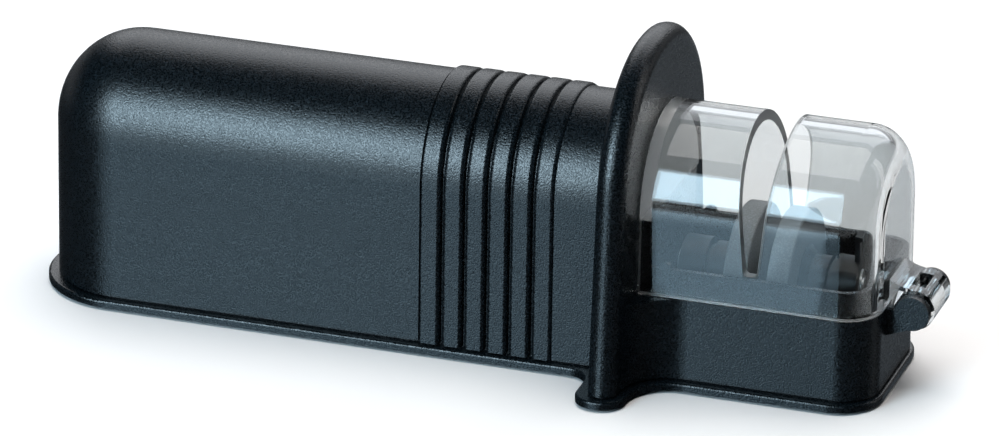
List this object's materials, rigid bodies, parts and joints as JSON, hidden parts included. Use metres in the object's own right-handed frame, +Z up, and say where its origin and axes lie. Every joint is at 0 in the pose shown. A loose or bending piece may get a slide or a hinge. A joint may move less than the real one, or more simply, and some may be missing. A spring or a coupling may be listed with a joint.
{
  "type": "manual knife sharpener",
  "caption": "Hand-held roller knife sharpener: loaf-shaped handle, tall finger guard, and grinding wheels in a tub under a hinged clear cover with a V-shaped knife slot.",
  "frame": {"origin": "middle of the footprint's bounding box, on the surface that the rubber feet stand on", "axes": "+X along the length from the handle to the hinge, +Y to the far side, +Z up; the picture shows the -Y side"},
  "size_m": [0.1814, 0.0662, 0.0657],
  "materials": {
    "body_plastic": "satin spark-textured moulded plastic, blue-black",
    "screw_steel": "zinc-plated self-tapping screw",
    "foot_rubber": "matt soft rubber",
    "clear_plastic": "polished clear moulded plastic",
    "axle_steel": "ground steel",
    "wheel_ceramic": "fine-grit abrasive ceramic, mid grey",
    "hub_plastic": "satin grey moulded plastic",
    "bush_acetal": "black acetal"
  },
  "bodies": {
    "base": {"handle_shell": "body_plastic", "grip_band": "body_plastic", "finger_guard": "body_plastic", "wheel_tub": "body_plastic", "sole_plate": "body_plastic", "sole_screws": "screw_steel", "foot_rear_near": "foot_rubber", "foot_rear_far": "foot_rubber", "foot_front_near": "foot_rubber", "foot_front_far": "foot_rubber", "hinge_pin": "body_plastic", "left_bush": "bush_acetal", "right_bush": "bush_acetal", "left_bearing_block": "hub_plastic", "right_bearing_block": "hub_plastic"},
    "cover": {"clear_cover": "clear_plastic"},
    "wheels": {"axle": "axle_steel", "left_wheel": "wheel_ceramic", "right_wheel": "wheel_ceramic", "left_hub": "hub_plastic", "right_hub": "hub_plastic", "left_axle_clip": "axle_steel", "right_axle_clip": "axle_steel"}
  },
  "joints": [
    {"name": "cover_hinge", "type": "hinge", "parent": "base", "child": "cover", "pos_m": [0.08672, 0, 0.0181], "axis": [0, 1, 0], "range_deg": [0, 110]},
    {"name": "wheel_spin", "type": "hinge", "parent": "base", "child": "wheels", "pos_m": [0.05742, 0, 0.01925], "axis": [1, 0, 0], "continuous": true}
  ]
}
